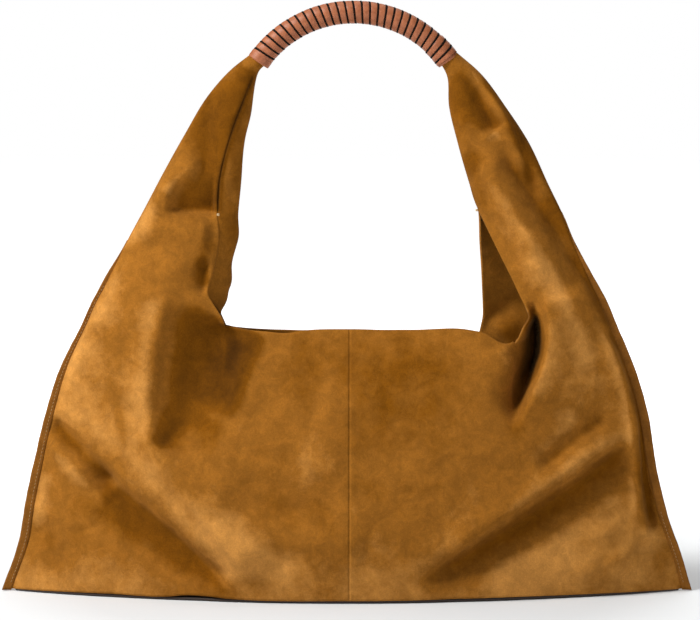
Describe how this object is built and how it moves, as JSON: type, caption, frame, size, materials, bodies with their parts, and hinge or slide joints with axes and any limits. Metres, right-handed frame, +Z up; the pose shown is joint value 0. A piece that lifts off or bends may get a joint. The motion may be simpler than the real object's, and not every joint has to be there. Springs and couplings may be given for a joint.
{
  "type": "hobo bag",
  "caption": "Wide slouchy suede hobo shoulder bag: seamed halves, low open mouth, arms that gather into one arched handle bound in a leather spiral.",
  "frame": {"origin": "centre of the base, on the surface that the bag stands on", "axes": "+X across the bag to the wearer's right when its front faces them, -Y out of the front, +Z up"},
  "size_m": [0.5832, 0.1398, 0.5027],
  "materials": {
    "suede": "napped suede",
    "raw_edge": "cut suede edge",
    "wrap_leather": "smooth, semi-gloss",
    "dark_leather": "smooth, satin",
    "thread": "matte thread",
    "brass": "satin",
    "tape": "woven",
    "lining": "woven cotton",
    "rope": "twisted cord",
    "board": "matte"
  },
  "bodies": {
    "bag": {"back_panel_left": "suede", "back_panel_right": "suede", "bar_tack_left": "thread", "bar_tack_right": "thread", "base_panel": "dark_leather", "base_stiffener": "board", "front_panel_left": "suede", "front_panel_right": "suede", "mouth_facing_back": "suede", "mouth_facing_front": "suede", "pocket_back": "lining", "pocket_binding": "dark_leather", "pocket_front_lower": "lining", "pocket_front_upper": "lining", "seam_tape_back": "tape", "seam_tape_front": "tape", "side_flange_left": "raw_edge", "side_flange_right": "raw_edge", "side_stitching_left": "thread", "side_stitching_right": "thread", "snap_female": "brass", "snap_male": "brass", "snap_patch_back": "dark_leather", "snap_patch_front": "dark_leather", "zip_end_stops": "brass", "zip_tape_lower": "tape", "zip_tape_upper": "tape", "zip_teeth_lower": "brass", "zip_teeth_upper": "brass"},
    "handle": {"handle_core": "rope", "handle_sleeve": "suede", "handle_wrap": "wrap_leather", "left_arm_back": "suede", "left_arm_front": "suede", "right_arm_back": "suede", "right_arm_front": "suede", "wrap_collar_left": "wrap_leather", "wrap_collar_right": "wrap_leather"},
    "zip_slider": {"zip_slider": "brass"},
    "zip_pull": {"zip_pull": "brass", "zip_pull_tab": "dark_leather"}
  },
  "joints": [
    {"name": "handle_fold", "type": "hinge", "parent": "bag", "child": "handle", "pos_m": [0, 0, 0.345], "axis": [1, 0, 0], "range_deg": [-125, 125]},
    {"name": "zip_slide", "type": "slide", "parent": "bag", "child": "zip_slider", "axis": [1, 0, 0], "range_m": [-0.14, 0]},
    {"name": "zip_pull_swing", "type": "hinge", "parent": "zip_slider", "child": "zip_pull", "pos_m": [0.07, 0.01665, 0.17], "axis": [0, 0, 1], "range_deg": [0, 150]}
  ]
}
